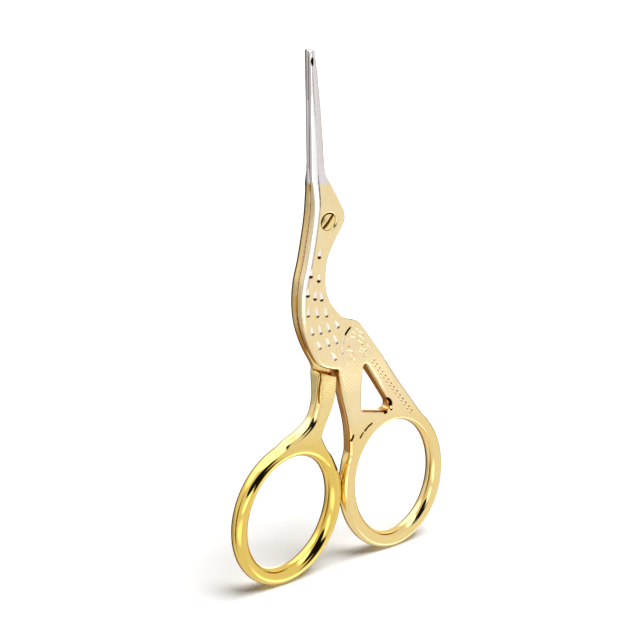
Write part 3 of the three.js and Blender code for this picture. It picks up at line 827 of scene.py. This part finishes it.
view = {"place": (-195.53, -261.44, 172.94), "aim": (-4.158, 0, 47.035), "lens": 116.38, "sensor": 36}
cameraPlace, cameraAim = Vector(view["place"]) * mm, Vector(view["aim"]) * mm
camera = bpy.data.objects.new("camera", bpy.data.cameras.new("camera"))
camera.location = cameraPlace
camera.rotation_mode = "QUATERNION"
camera.rotation_quaternion = (cameraAim - cameraPlace).to_track_quat("-Z", "Y")
camera.data.lens = view["lens"]
camera.data.sensor_width = view["sensor"]
camera.data.clip_start, camera.data.clip_end = 0.01, 20
bpy.context.scene.collection.objects.link(camera)
bpy.context.scene.camera = camera

bpy.ops.mesh.primitive_plane_add(size=6)
floor = bpy.context.object
floor.name = "floor"
floor.visible_glossy = False  # below the horizon the metal mirrors the studio's own white
# rolled white paper: matt and even, so that all it shows is the shadow
sweep = {"fibre": 0.8, "low": "#FBFBFB", "high": "#FEFEFE"}
material, tree = newMaterial("whitePaperSweep")
place = addNode(tree, "ShaderNodeTexCoord").outputs["Object"]
fibres = addNode(tree, "ShaderNodeTexNoise", {"Scale": 1 / (sweep["fibre"] * mm), "Detail": 3.0},
                 {"Vector": place})
paper = addNode(tree, "ShaderNodeMix",
                {"data_type": "RGBA", 6: linearRgb(sweep["low"]), 7: linearRgb(sweep["high"])},
                {0: fibres.outputs[0]})
shader = addNode(tree, "ShaderNodeBsdfDiffuse", links={"Color": paper.outputs[2]})
addNode(tree, "ShaderNodeOutputMaterial", links={0: shader.outputs[0]})
floor.data.materials.append(material)

# what the polish mirrors: white all round, with dark flags and bright boxes
studio = {
    "white": 0.95,
    "fill": 0.12,
    "patches": [  # azimuth and elevation, half sizes and roll in degrees, later ones over earlier ones
        {"at": (-150, 48), "half": (34, 26), "level": 2.6, "edge": 0.35},
        {"at": (168, -24), "half": (36, 36), "level": 0.5, "edge": 0.3, "tint": "#D9A455"},
        {"at": (-146, -20), "half": (15, 14), "level": 0.55, "edge": 0.4},
        {"at": (-178, -21), "half": (14, 16), "level": 0.04, "edge": 0.3},
        {"at": (138, -8), "half": (15, 13), "level": 2.6, "edge": 0.3},
        {"at": (50, -24), "half": (28, 20), "level": 1.0, "edge": 0.5},
        {"at": (-75, 70), "half": (50, 15), "level": 2.4, "edge": 0.3},
        {"at": (-40, 4), "half": (20, 8), "level": 2.4, "edge": 0.4},
        {"at": (-52, -22), "half": (26, 12), "level": 1.7, "edge": 0.4},
        {"at": (44, -48), "half": (20, 13), "level": 2.3, "edge": 0.4},
        {"at": (104, -18), "half": (18, 16), "level": 0.6, "edge": 0.4, "tint": "#D9A455"},
        {"at": (82, 36), "half": (11, 26), "level": 0.5, "edge": 0.4, "tint": "#C88F40"},
        {"at": (-107, -10), "half": (8, 30), "level": 0.45, "edge": 0.5, "tint": "#C88F40"},
        {"at": (-34, 31), "half": (38, 17), "level": 0.01, "edge": 0.12},
        {"at": (2, 2), "half": (31, 8), "roll": -38, "level": 0.01, "edge": 0.1},
    ],
}


def directionOf(azimuth, elevation):
    a, e = math.radians(azimuth), math.radians(elevation)
    return Vector((math.sin(a) * math.cos(e), -math.cos(a) * math.cos(e), math.sin(e)))


def studioWorld():
    world = bpy.data.worlds.new("studio")
    world.use_nodes = True
    tree = world.node_tree
    tree.nodes.clear()
    place = addNode(tree, "ShaderNodeTexCoord")
    white = addNode(tree, "ShaderNodeRGB")
    white.outputs[0].default_value = (*[studio["white"]] * 3, 1)
    seen = white.outputs[0]
    for patch in studio["patches"]:
        middle = directionOf(*patch["at"])
        side = Vector((0, 0, 1)).cross(middle).normalized()
        up = middle.cross(side).normalized()
        roll = math.radians(patch.get("roll", 0))
        across = side * math.cos(roll) + up * math.sin(roll)
        along = up * math.cos(roll) - side * math.sin(roll)
        turn = Matrix((across, along, across.cross(along))).transposed().to_euler()
        half = [math.sin(math.radians(h)) for h in patch["half"]]
        local = addNode(tree, "ShaderNodeMapping",
                        {"vector_type": "TEXTURE", "Location": middle, "Rotation": turn, "Scale": (*half, 1)},
                        {0: place.outputs["Generated"]})
        away = addNode(tree, "ShaderNodeVectorMath", {"operation": "LENGTH"}, {0: local.outputs[0]})
        inside = addNode(tree, "ShaderNodeMapRange",
                         {"interpolation_type": "SMOOTHSTEP", "From Min": 1 + patch["edge"],
                          "From Max": 1 - patch["edge"]}, {0: away.outputs["Value"]})
        shade = [patch["level"] * c for c in linearRgb(patch.get("tint", "#FFFFFF"))]
        mixed = addNode(tree, "ShaderNodeMix", {"data_type": "RGBA", 7: shade}, {0: inside.outputs[0], 6: seen})
        seen = mixed.outputs[2]
    ray = addNode(tree, "ShaderNodeLightPath")
    fill = addNode(tree, "ShaderNodeMix", {"data_type": "RGBA", 6: (*[studio["fill"]] * 3, 1)},
                   {0: ray.outputs["Is Glossy Ray"], 7: seen})
    shown = addNode(tree, "ShaderNodeMix", {"data_type": "RGBA", 7: (1, 1, 1, 1)},
                    {0: ray.outputs["Is Camera Ray"], 6: fill.outputs[2]})
    light = addNode(tree, "ShaderNodeBackground", {"Strength": 1.0}, {"Color": shown.outputs[2]})
    addNode(tree, "ShaderNodeOutputWorld", links={0: light.outputs[0]})
    return world


bpy.context.scene.world = studioWorld()

# a broad lamp overhead that lights the paper and makes the shadow
overhead = {"at": (36, 72), "energy": 3.6, "angle": 44}
lamp = bpy.data.objects.new("overheadLamp", bpy.data.lights.new("overheadLamp", "SUN"))
lamp.data.energy = overhead["energy"]
lamp.data.angle = math.radians(overhead["angle"])
lamp.rotation_mode = "QUATERNION"
lamp.rotation_quaternion = (-directionOf(*overhead["at"])).to_track_quat("-Z", "Y")
lamp.visible_glossy = False
bpy.context.scene.collection.objects.link(lamp)

bpy.context.scene.view_settings.view_transform = "Standard"

bpy.context.view_layer.update()
print("stage and light")
